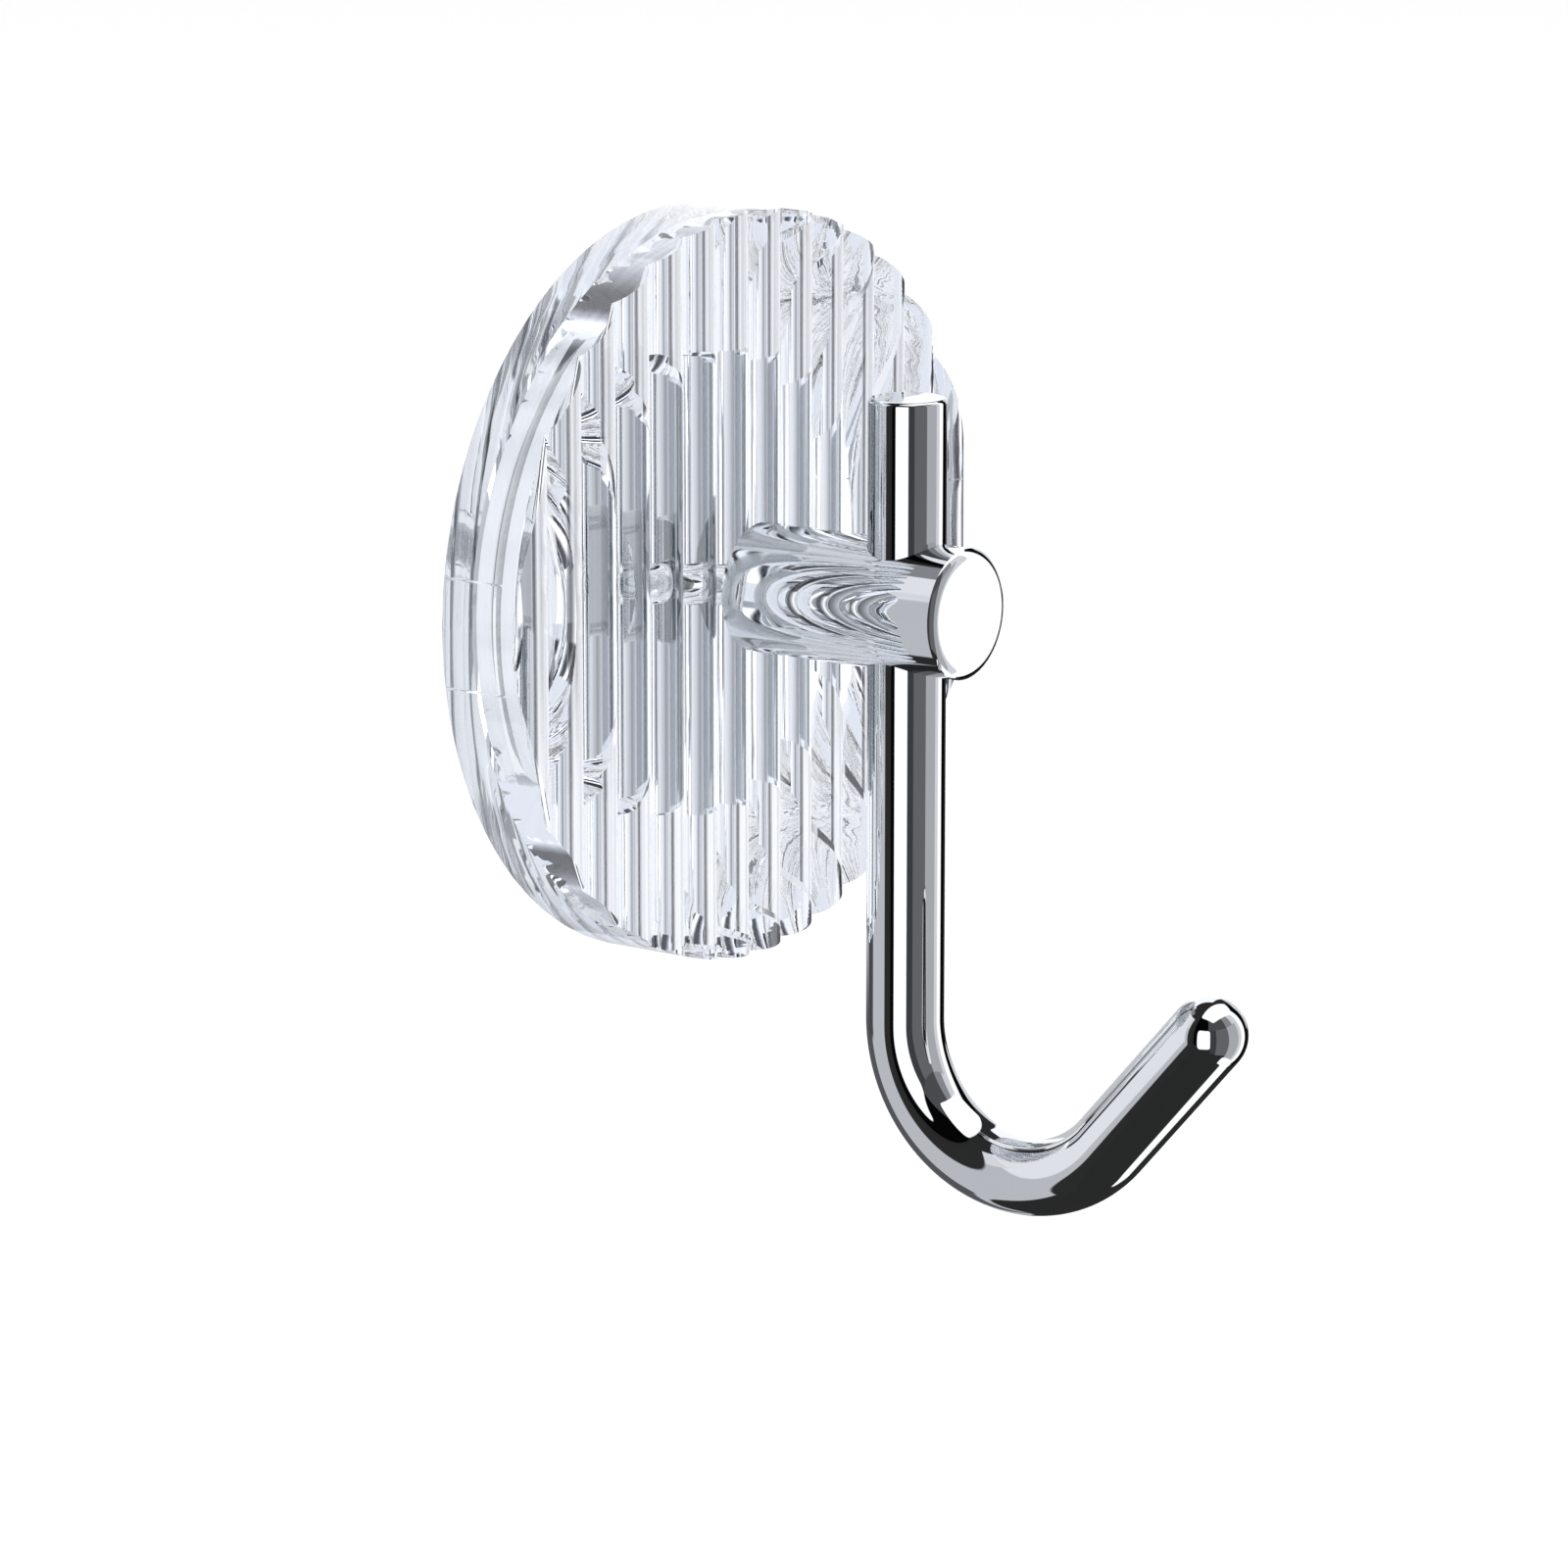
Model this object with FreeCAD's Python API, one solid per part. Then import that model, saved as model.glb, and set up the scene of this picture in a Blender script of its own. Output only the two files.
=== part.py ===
import FreeCAD, Part
import math
import os

# A wall hook: a round, reeded, clear acrylic rosette taped to the wall, a chromed post that stands
# out of it, and a bent chromed rod that passes through the post.
# Millimetres. The wall is the plane y = 0 and the hook stands out of it towards -Y, with +Z up.
# The origin is the middle of the face that meets the wall.

# Rosette
rosette_diameter = 58.0
rosette_thickness = 8.0
rosette_back_chamfer = 0.3
reed_pitch = 4.15
reed_depth = 1.3

# Steel plate and double-sided tape in the recess in the rosette's back
recess_diameter = 36.0
plate_side_clearance = 0.2
plate_edge_chamfer = 0.2
plate_land = 0.15
tape_inset = 0.3
tape_thickness = 0.6
tape_proud = 0.2

# Post
post_diameter = 10.0
post_end_wall = 2.8
post_end_chamfer = 0.45
post_seat_chamfer = 0.2

# Hook rod
rod_diameter = 6.0
rod_standoff = 10.9
rod_fit_clearance = 0.02
rod_top_height = 16.0
rod_top_chamfer = 0.4
bend_centre_drop = 32.0
bend_radius = 10.8
tip_angle = 49.0
tip_straight_length = 13.0

# Countersunk screw from the plate into the post
screw_diameter = 3.0
screw_head_overhang = 1.25
screw_head_rim = 0.2
screw_socket_width = 2.0
screw_socket_depth = 0.9
screw_tip_chamfer = 0.4
screw_tip_to_rod = 2.5
screw_hole_clearance = 0.1
thread_fit_clearance = 0.02
tapped_hole_spare_depth = 0.9
drill_point_angle = 118.0

rosette_radius = rosette_diameter / 2
recess_radius = recess_diameter / 2
post_radius = post_diameter / 2
rod_radius = rod_diameter / 2
screw_radius = screw_diameter / 2
screw_head_radius = screw_radius + screw_head_overhang
screw_hole_radius = screw_radius + screw_hole_clearance
plate_thickness = screw_head_rim + screw_head_overhang + plate_land

# Distances out from the wall, each taken from what it rests on
rosette_back = tape_proud
rosette_face = rosette_back + rosette_thickness
recess_floor = tape_thickness + plate_thickness
rod_axis = rosette_face + rod_standoff + rod_radius
post_end = rod_axis + rod_radius + post_end_wall
screw_tip = rod_axis - rod_radius - screw_tip_to_rod

ORIGIN = FreeCAD.Vector(0, 0, 0)
OUT_OF_WALL = FreeCAD.Vector(0, -1, 0)
UP = FreeCAD.Vector(0, 0, 1)


def point(x, out, z):
    """A point given by its side, its distance out from the wall, and its height."""
    return FreeCAD.Vector(x, -out, z)


def turned(profile):
    """A solid turned about the post's axis from corners given as (radius, distance out)."""
    corners = [point(radius, out, 0) for radius, out in profile]
    outline = Part.makePolygon(corners + corners[:1])
    return Part.Face(outline).revolve(ORIGIN, OUT_OF_WALL, 360)


def round_bar(radius, start, length):
    """A cylinder about the post's axis that begins at the distance start and runs outwards."""
    return Part.makeCylinder(radius, length, point(0, start, 0), OUT_OF_WALL)


def reeded_slab():
    """A square slab whose front is a row of upright half-round reeds, with a valley on the middle."""
    reeds_each_side = math.ceil(rosette_radius / reed_pitch)
    half_width = reeds_each_side * reed_pitch
    valley = rosette_face - reed_depth
    edges = []
    for reed in range(-reeds_each_side, reeds_each_side):
        left = point(reed * reed_pitch, valley, -rosette_radius)
        crest = point((reed + 0.5) * reed_pitch, rosette_face, -rosette_radius)
        right = point((reed + 1) * reed_pitch, valley, -rosette_radius)
        edges.append(Part.Arc(left, crest, right).toShape())
    back = [
        point(half_width, valley, -rosette_radius),
        point(half_width, rosette_back, -rosette_radius),
        point(-half_width, rosette_back, -rosette_radius),
        point(-half_width, valley, -rosette_radius),
    ]
    edges.extend(Part.makePolygon(back).Edges)
    return Part.Face(Part.Wire(edges)).extrude(UP * rosette_diameter)


def make_fluted_disc():
    """The rosette: the reeded slab turned round, with the recess and the screw hole from behind."""
    blank = turned([
        (0, rosette_back),
        (rosette_radius - rosette_back_chamfer, rosette_back),
        (rosette_radius, rosette_back + rosette_back_chamfer),
        (rosette_radius, rosette_face),
        (0, rosette_face),
    ])
    recess = round_bar(recess_radius, rosette_back, recess_floor - rosette_back)
    screw_hole = round_bar(screw_hole_radius, rosette_back, rosette_thickness)
    return reeded_slab().common(blank).cut(recess).cut(screw_hole)


def make_backing_plate():
    """The steel plate in the recess, countersunk from behind for the screw."""
    plate_radius = recess_radius - plate_side_clearance
    sink_radius = screw_head_radius + screw_hole_clearance
    rim_end = tape_thickness + screw_head_rim
    return turned([
        (sink_radius, tape_thickness),
        (plate_radius - plate_edge_chamfer, tape_thickness),
        (plate_radius, tape_thickness + plate_edge_chamfer),
        (plate_radius, recess_floor - plate_edge_chamfer),
        (plate_radius - plate_edge_chamfer, recess_floor),
        (screw_hole_radius, recess_floor),
        (screw_hole_radius, rim_end + screw_head_overhang),
        (sink_radius, rim_end),
    ])


def make_mounting_tape():
    """The round of double-sided tape between the plate and the wall."""
    return round_bar(recess_radius - plate_side_clearance - tape_inset, 0, tape_thickness)


def make_post():
    """The post, tapped from behind for the screw and bored across for the rod."""
    hole_radius = screw_radius + thread_fit_clearance
    hole_end = screw_tip + tapped_hole_spare_depth
    drill_point_depth = hole_radius / math.tan(math.radians(drill_point_angle / 2))
    body = turned([
        (hole_radius, rosette_face),
        (post_radius - post_seat_chamfer, rosette_face),
        (post_radius, rosette_face + post_seat_chamfer),
        (post_radius, post_end - post_end_chamfer),
        (post_radius - post_end_chamfer, post_end),
        (0, post_end),
        (0, hole_end + drill_point_depth),
        (hole_radius, hole_end),
    ])
    bore_foot = point(0, rod_axis, -post_radius)
    bore = Part.makeCylinder(rod_radius + rod_fit_clearance, post_diameter, bore_foot, UP)
    return body.cut(bore)


def bend_point(angle):
    """The point of the rod's middle line after it has turned by this angle round the bend."""
    out = rod_axis + bend_radius * (1 - math.cos(angle))
    return point(0, out, -bend_centre_drop - bend_radius * math.sin(angle))


def make_hook_rod():
    """The rod: a round bar swept down, round the bend and up to its domed tip."""
    rise = math.radians(tip_angle)
    whole_turn = math.radians(90) + rise
    top = point(0, rod_axis, rod_top_height)
    bend_start = bend_point(0)
    bend_end = bend_point(whole_turn)
    tip_direction = point(0, math.cos(rise), math.sin(rise))
    dome_centre = bend_end + tip_direction * tip_straight_length
    middle_line = Part.Wire([
        Part.LineSegment(top, bend_start).toShape(),
        Part.Arc(bend_start, bend_point(whole_turn / 2), bend_end).toShape(),
        Part.LineSegment(bend_end, dome_centre).toShape(),
    ])
    section = Part.Face(Part.Wire(Part.Circle(top, UP, rod_radius).toShape()))
    bar = middle_line.makePipe(section)
    rim = [edge for edge in bar.Edges if edge.CenterOfMass.isEqual(top, rod_top_chamfer)]
    dome = Part.makeSphere(rod_radius, dome_centre, tip_direction, 0, 90, 360)
    return bar.makeChamfer(rod_top_chamfer, rim).fuse(dome).removeSplitter()


def make_fixing_screw():
    """The countersunk socket screw that draws the plate, the rosette and the post together."""
    rim_end = tape_thickness + screw_head_rim
    body = turned([
        (0, tape_thickness),
        (screw_head_radius, tape_thickness),
        (screw_head_radius, rim_end),
        (screw_radius, rim_end + screw_head_overhang),
        (screw_radius, screw_tip - screw_tip_chamfer),
        (screw_radius - screw_tip_chamfer, screw_tip),
        (0, screw_tip),
    ])
    corner_radius = screw_socket_width / math.sqrt(3)
    angles = [math.radians(60 * corner) for corner in range(7)]
    corners = [
        point(corner_radius * math.cos(angle), tape_thickness, corner_radius * math.sin(angle))
        for angle in angles
    ]
    socket = Part.Face(Part.makePolygon(corners)).extrude(OUT_OF_WALL * screw_socket_depth)
    return body.cut(socket)


pieces = {
    "fluted_disc": make_fluted_disc(),
    "backing_plate": make_backing_plate(),
    "mounting_tape": make_mounting_tape(),
    "post": make_post(),
    "hook_rod": make_hook_rod(),
    "fixing_screw": make_fixing_screw(),
}

os.makedirs("parts", exist_ok=True)
for name, shape in pieces.items():
    shape.exportStep("parts/" + name + ".step")
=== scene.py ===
import math

import bmesh
import bpy
import numpy as np
from mathutils import Matrix, Vector


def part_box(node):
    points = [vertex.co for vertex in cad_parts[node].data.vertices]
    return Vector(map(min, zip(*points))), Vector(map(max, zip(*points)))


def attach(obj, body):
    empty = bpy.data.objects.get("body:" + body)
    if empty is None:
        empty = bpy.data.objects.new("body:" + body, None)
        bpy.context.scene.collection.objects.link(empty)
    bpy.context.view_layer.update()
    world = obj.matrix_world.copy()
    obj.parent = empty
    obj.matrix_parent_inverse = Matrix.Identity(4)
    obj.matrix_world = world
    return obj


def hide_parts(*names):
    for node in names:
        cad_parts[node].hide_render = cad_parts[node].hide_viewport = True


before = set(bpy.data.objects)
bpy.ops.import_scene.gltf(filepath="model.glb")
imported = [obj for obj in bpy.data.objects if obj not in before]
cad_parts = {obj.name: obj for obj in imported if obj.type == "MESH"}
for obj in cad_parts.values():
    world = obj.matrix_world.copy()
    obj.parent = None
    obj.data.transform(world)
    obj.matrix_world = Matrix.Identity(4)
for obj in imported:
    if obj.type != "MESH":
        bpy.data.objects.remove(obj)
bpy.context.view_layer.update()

MM = 0.001
MERGE_DISTANCE = 1e-7
SLIVER = 1e-8
ROUNDING_ERROR = 1e-9
TURNED_SHARP_ANGLE = 20.0  # degrees past which a turned piece's faces meet in a crisp edge

# Sizes that the frame gives, in metres
ROSETTE_LOW, ROSETTE_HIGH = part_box("fluted_disc")
POST_LOW, POST_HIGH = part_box("post")
ROD_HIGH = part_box("hook_rod")[1]
PLATE_LOW, PLATE_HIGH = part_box("backing_plate")
SCREW_LOW, SCREW_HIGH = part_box("fixing_screw")
ROSETTE_RADIUS = ROSETTE_HIGH.x
ROSETTE_BACK = ROSETTE_HIGH.y
ROSETTE_FACE = ROSETTE_LOW.y
POST_RADIUS = POST_HIGH.x
POST_SEAT = POST_HIGH.y
POST_END = POST_LOW.y
ROD_RADIUS = ROD_HIGH.x
ROD_TOP = ROD_HIGH.z
ROD_AXIS = ROD_HIGH.y - ROD_RADIUS
PLATE_RADIUS = PLATE_HIGH.x
PLATE_FACE = PLATE_LOW.y

# Sizes of the real pieces that their boxes don't give
REED_PITCH = 4.15 * MM
REED_DEPTH = 1.3 * MM
BACK_CHAMFER = 0.3 * MM
RECESS_RADIUS = 18.0 * MM
AIR_FILM = 0.03 * MM  # between the acrylic and the steel
RECESS_FLOOR = PLATE_FACE - AIR_FILM
# The width of the painted highlight round the steel plate's edge
PLATE_HIGHLIGHT_WIDTH = 0.25 * MM
SCREW_HOLE_RADIUS = 1.6 * MM
POST_END_ROUNDING = 1.05 * MM
POST_END_TILT = math.radians(54.0)
POST_SEAT_CHAMFER = 0.2 * MM
TAPPED_HOLE_RADIUS = 1.52 * MM
TAPPED_HOLE_END = -17.5 * MM
DRILL_POINT_ANGLE = math.radians(118.0)
BORE_RADIUS = 3.02 * MM
DRILL_REACH = POST_RADIUS * 1.2  # from the post's axis to each end of what bores it
SCREW_RADIUS = 1.5 * MM
SCREW_HEAD_RADIUS = 2.75 * MM
SCREW_HEAD_OVERHANG = 1.25 * MM
SCREW_HEAD_RIM = 0.2 * MM
SCREW_SOCKET_WIDTH = 2.0 * MM
SCREW_SOCKET_DEPTH = 0.9 * MM
SCREW_TIP_CHAMFER = 0.4 * MM
THREAD_PITCH = 0.5 * MM
THREAD_DEPTH = 0.3 * MM
THREAD_STEEPNESS = 1.15  # the groove is cut off at its full depth, so that its bottom is a little flat
ROD_TOP_ROUNDING = 0.4 * MM
BEND_CENTRE_HEIGHT = -32.0 * MM
BEND_RADIUS = 10.8 * MM
TIP_ANGLE = math.radians(49.0)
TIP_STRAIGHT = 13.0 * MM

# The acrylic's faint waves, and the ridges on its rim
WAVE_HEIGHT = 0.006 * MM
RIDGES_TO_WAVES = 2.0
RIM_DEPTH = 0.02 * MM

# Steps on the curves of the new pieces
REED_STEPS = 64
TURNED_STEPS = 360
BORE_STEPS = 240
ROUNDING_STEPS = 12
ROD_ROUND_STEPS = 180
BEND_STEPS = 139
DOME_STEPS = 45
TOP_STEPS = 11
SCREW_ROUND_STEPS = 120
STEPS_PER_THREAD = 16

# The view that the photograph was taken from
IMAGE_SIDE_PX = 1600.0
FOCAL_PX = 6715.3
CAMERA_AZIMUTH = math.radians(-53.865)
CAMERA_ELEVATION = math.radians(12.457)
CAMERA_DISTANCE = 0.5105
ROSETTE_BACK_PX = (689.38, 586.65)  # where the middle of the rosette's back falls in the photograph
SENSOR_WIDTH = 36.0


def closed_mesh(name, grids, sharp_angle=30.0):
    """A mesh of point grids (rows, columns, 3) whose shared edges are merged, so that it is closed.

    Faces that meet at more than the sharp angle, in degrees, keep a crisp edge.
    """
    mesh = bpy.data.meshes.new(name)
    points, faces, start = [], [], 0
    for grid in grids:
        rows, columns, _ = grid.shape
        index = start + np.arange(rows * columns).reshape(rows, columns)
        corners = (index[:-1, :-1], index[:-1, 1:], index[1:, 1:], index[1:, :-1])
        points.append(grid.reshape(-1, 3))
        faces.append(np.stack(corners, axis=-1).reshape(-1, 4))
        start += rows * columns
    mesh.from_pydata(np.concatenate(points), [], np.concatenate(faces).tolist())
    work = bmesh.new()
    work.from_mesh(mesh)
    bmesh.ops.remove_doubles(work, verts=work.verts, dist=MERGE_DISTANCE)
    bmesh.ops.dissolve_degenerate(work, edges=work.edges, dist=SLIVER)
    bmesh.ops.recalc_face_normals(work, faces=work.faces)
    work.to_mesh(mesh)
    work.free()
    mesh.shade_smooth()
    mesh.set_sharp_from_angle(angle=math.radians(sharp_angle))
    piece = bpy.data.objects.new(name, mesh)
    bpy.context.collection.objects.link(piece)
    return piece


def reed_columns():
    """Every x at which the rosette is divided: even steps of angle on each reed, and on each circle."""
    half_turn = reed_half_angle()
    count = math.ceil(ROSETTE_RADIUS / REED_PITCH)
    steps = reed_arc_radius() * np.sin(np.linspace(-half_turn, half_turn, REED_STEPS + 1))
    crests = (np.arange(-count, count) + 0.5) * REED_PITCH
    columns = [(crests[:, None] + steps[None, :]).ravel()]
    quarter = np.radians(np.arange(-90.0, 90.5, 1.0))
    for radius in (ROSETTE_RADIUS, ROSETTE_RADIUS - BACK_CHAMFER, RECESS_RADIUS, SCREW_HOLE_RADIUS):
        columns.append(radius * np.sin(quarter))
    x = np.unique(np.round(np.concatenate(columns), 7))
    return x[np.abs(x) <= ROSETTE_RADIUS + ROUNDING_ERROR]


def reed_arc_radius():
    """The radius of a reed's arc, from its width and depth."""
    return (REED_PITCH ** 2 / 4 + REED_DEPTH ** 2) / (2 * REED_DEPTH)


def reed_half_angle():
    """The angle from a reed's crest to its valley, seen from the middle of its arc."""
    return math.asin(REED_PITCH / 2 / reed_arc_radius())


def reed_front(x):
    """The front's y at x: the arc of the reed that x falls in, with its crest at the rosette's face."""
    from_crest = (x / REED_PITCH - np.floor(x / REED_PITCH) - 0.5) * REED_PITCH
    radius = reed_arc_radius()
    return ROSETTE_FACE + radius - np.sqrt(radius ** 2 - from_crest ** 2)


def half_width(radius, x):
    """Half the height of a circle at x, which is nothing outside it: the root of r squared less x squared."""
    return np.sqrt(np.maximum(radius ** 2 - x ** 2, 0.0))


def between_circles(columns, inner, outer, depth, side):
    """The upper or lower half (side 1 or -1) of the ring between two circles, with y = depth(x, z)."""
    x = columns[np.abs(columns) <= outer + ROUNDING_ERROR]
    z = np.stack([half_width(inner, x), half_width(outer, x)]) * side
    x = np.stack([x, x])
    return np.stack([x, depth(x, z), z], axis=-1)


def along_circle(columns, radius, front, back, side):
    """The upper or lower half of a round wall from y = front(x) to y = back(x)."""
    x = columns[np.abs(columns) <= radius + ROUNDING_ERROR]
    z = half_width(radius, x) * side
    return np.stack([np.stack([x, front(x), z], axis=-1), np.stack([x, back(x), z], axis=-1)])


def make_rosette():
    """The rosette: each of its faces lies between two circles, or along one, on the same columns of x.

    The front is y = reed_front(x), the back and the recess are flat, and the chamfer falls with the radius.
    """
    columns = reed_columns()
    chamfer_radius = ROSETTE_RADIUS - BACK_CHAMFER

    def flat(y):
        return lambda x, z=None: np.full_like(x, y)

    def front(x, z=None):
        return reed_front(x)

    def chamfer(x, z):
        return ROSETTE_BACK - np.maximum(np.hypot(x, z) - chamfer_radius, 0.0)

    grids = []
    for side in (1, -1):
        grids += [
            between_circles(columns, SCREW_HOLE_RADIUS, ROSETTE_RADIUS, front, side),
            along_circle(columns, ROSETTE_RADIUS, front, flat(ROSETTE_BACK - BACK_CHAMFER), side),
            between_circles(columns, chamfer_radius, ROSETTE_RADIUS, chamfer, side),
            between_circles(columns, RECESS_RADIUS, chamfer_radius, flat(ROSETTE_BACK), side),
            along_circle(columns, RECESS_RADIUS, flat(ROSETTE_BACK), flat(RECESS_FLOOR), side),
            between_circles(columns, SCREW_HOLE_RADIUS, RECESS_RADIUS, flat(RECESS_FLOOR), side),
            along_circle(columns, SCREW_HOLE_RADIUS, flat(RECESS_FLOOR), front, side),
        ]
    return closed_mesh("reeded_rosette", grids, sharp_angle=25.0)


def turned(name, profile):
    """A piece turned about the post's axis from (radius, y) corners: x = r cos a, z = r sin a."""
    corners = np.array(profile)
    angle = np.linspace(0, 2 * math.pi, TURNED_STEPS + 1)
    radius, y = corners[:, :1], corners[:, 1:]
    grid = np.stack([radius * np.cos(angle), y + 0 * angle, radius * np.sin(angle)], axis=-1)
    return closed_mesh(name, [grid], TURNED_SHARP_ANGLE)


def make_post():
    """The post turned with its tapped hole, then bored across for the rod.

    Its end is an arc: r = face radius + R sin t, y = end + R (1 - cos t), with t from its tilt down to nothing.
    """
    drill_point = TAPPED_HOLE_RADIUS / math.tan(DRILL_POINT_ANGLE / 2)
    tilt = np.linspace(POST_END_TILT, 0, ROUNDING_STEPS + 1)
    face_radius = POST_RADIUS - POST_END_ROUNDING * math.sin(POST_END_TILT)
    end_radii = face_radius + POST_END_ROUNDING * np.sin(tilt)
    end_y = POST_END + POST_END_ROUNDING * (1 - np.cos(tilt))
    post = turned("chromed_post", [
        (TAPPED_HOLE_RADIUS, POST_SEAT),
        (POST_RADIUS - POST_SEAT_CHAMFER, POST_SEAT),
        (POST_RADIUS, POST_SEAT - POST_SEAT_CHAMFER),
        *zip(end_radii, end_y),
        (0, POST_END),
        (0, TAPPED_HOLE_END - drill_point),
        (TAPPED_HOLE_RADIUS, TAPPED_HOLE_END),
        (TAPPED_HOLE_RADIUS, POST_SEAT),
    ])
    angle = np.linspace(0, 2 * math.pi, BORE_STEPS + 1)
    across, outward = BORE_RADIUS * np.cos(angle), ROD_AXIS + BORE_RADIUS * np.sin(angle)
    middle, level = 0 * angle, DRILL_REACH + 0 * angle
    drill = closed_mesh("drill", [np.stack([
        np.stack([middle, middle + ROD_AXIS, -level], axis=-1),
        np.stack([across, outward, -level], axis=-1),
        np.stack([across, outward, level], axis=-1),
        np.stack([middle, middle + ROD_AXIS, level], axis=-1),
    ])])
    bore = post.modifiers.new("bore", "BOOLEAN")
    bore.object = drill
    bore.solver = "EXACT"
    post.data = bpy.data.meshes.new_from_object(post.evaluated_get(bpy.context.evaluated_depsgraph_get()))
    post.modifiers.clear()
    bpy.data.objects.remove(drill)
    post.data.set_sharp_from_angle(angle=math.radians(TURNED_SHARP_ANGLE))
    return post


def make_rod():
    """The rod as rings round its middle line: down, round the bend, up, and over the dome.

    A ring's points are centre + r (cos a across + sin a outward), and outward turns with the middle line.
    """
    turn = math.pi / 2 + TIP_ANGLE
    bend = np.linspace(0, turn, BEND_STEPS + 1)
    bend_y = ROD_AXIS - BEND_RADIUS * (1 - np.cos(bend))
    bend_z = BEND_CENTRE_HEIGHT - BEND_RADIUS * np.sin(bend)
    along = np.array([-math.cos(TIP_ANGLE), math.sin(TIP_ANGLE)])
    dome = np.linspace(0, math.pi / 2, DOME_STEPS + 1)
    reach = TIP_STRAIGHT + ROD_RADIUS * np.sin(dome)
    top = np.linspace(0, math.pi / 2, TOP_STEPS + 1)
    top_z = ROD_TOP - ROD_TOP_ROUNDING * (1 - np.cos(top))
    centres = np.concatenate([
        [[ROD_AXIS, ROD_TOP]],
        np.stack([np.full_like(top_z, ROD_AXIS), top_z], axis=-1),
        np.stack([bend_y, bend_z], axis=-1),
        np.array([bend_y[-1], bend_z[-1]]) + reach[:, None] * along,
    ])
    radii = np.concatenate([
        [0],
        ROD_RADIUS - ROD_TOP_ROUNDING * (1 - np.sin(top)),
        np.full(len(bend), ROD_RADIUS),
        ROD_RADIUS * np.cos(dome),
    ])
    turned_by = np.concatenate([np.zeros(1 + len(top)), bend, np.full(len(dome), turn)])
    angle = np.linspace(0, 2 * math.pi, ROD_ROUND_STEPS + 1)
    across = radii[:, None] * np.cos(angle)
    outward = radii[:, None] * np.sin(angle)
    y = centres[:, :1] + outward * np.cos(turned_by)[:, None]
    z = centres[:, 1:] - outward * np.sin(turned_by)[:, None]
    return closed_mesh("chromed_rod", [np.stack([across, y, z], axis=-1)])


def make_screw():
    """The screw as a sheet over (turns, rings): r follows a V groove along the axis and round it.

    At a distance s from the head and an angle a the groove's depth is a triangle wave of s / pitch - a / 2 pi.
    It runs out at both ends of the thread. Rings inside the rim make the head, the cone and the socket.
    """
    angle = np.linspace(0, 2 * math.pi, SCREW_ROUND_STEPS + 1)
    start = SCREW_LOW.y + SCREW_TIP_CHAMFER
    end = SCREW_HIGH.y - SCREW_HEAD_RIM - SCREW_HEAD_OVERHANG
    y = np.linspace(end, start, STEPS_PER_THREAD * math.ceil((end - start) / THREAD_PITCH) + 1)[:, None]
    wave = np.abs(2 * ((y / THREAD_PITCH + angle / (2 * math.pi)) % 1.0) - 1)
    run_out = np.clip(np.minimum(end - y, y - start) / THREAD_PITCH, 0, 1)
    radius = SCREW_RADIUS - THREAD_DEPTH * np.clip(THREAD_STEEPNESS * wave, 0, 1) * run_out
    corner = SCREW_SOCKET_WIDTH / 2 / np.cos(angle % (math.pi / 3) - math.pi / 6)

    def ring(radius, y):
        radius = np.atleast_2d(radius)
        return np.stack([radius * np.cos(angle), y + 0 * angle + 0 * radius, radius * np.sin(angle)], axis=-1)

    back, floor = SCREW_HIGH.y, SCREW_HIGH.y - SCREW_SOCKET_DEPTH
    rings = [
        ring(0.0, floor), ring(corner, floor), ring(corner, back),
        ring(SCREW_HEAD_RADIUS, back), ring(SCREW_HEAD_RADIUS, back - SCREW_HEAD_RIM),
        ring(radius, y),
        ring(SCREW_RADIUS - SCREW_TIP_CHAMFER, SCREW_LOW.y), ring(0.0, SCREW_LOW.y),
    ]
    return closed_mesh("threaded_screw", [np.concatenate(rings)], sharp_angle=35.0)


def add(tree, kind, links=None, **settings):
    """Adds a node with its settings; links gives what feeds each of its inputs."""
    node = tree.nodes.new(kind)
    for name, value in settings.items():
        setattr(node, name, value)
    for socket, source in (links or {}).items():
        if isinstance(source, bpy.types.NodeSocket):
            tree.links.new(source, node.inputs[socket])
        else:
            node.inputs[socket].default_value = source
    return node


def linear(hex_colour):
    """An sRGB hex colour as linear red, green, blue and alpha."""
    parts = [int(hex_colour[i:i + 2], 16) / 255 for i in (1, 3, 5)]
    return [p / 12.92 if p <= 0.04045 else ((p + 0.055) / 1.055) ** 2.4 for p in parts] + [1.0]


def new_material(name):
    material = bpy.data.materials.new(name)
    material.use_nodes = True
    material.node_tree.nodes.clear()
    return material, material.node_tree


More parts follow.
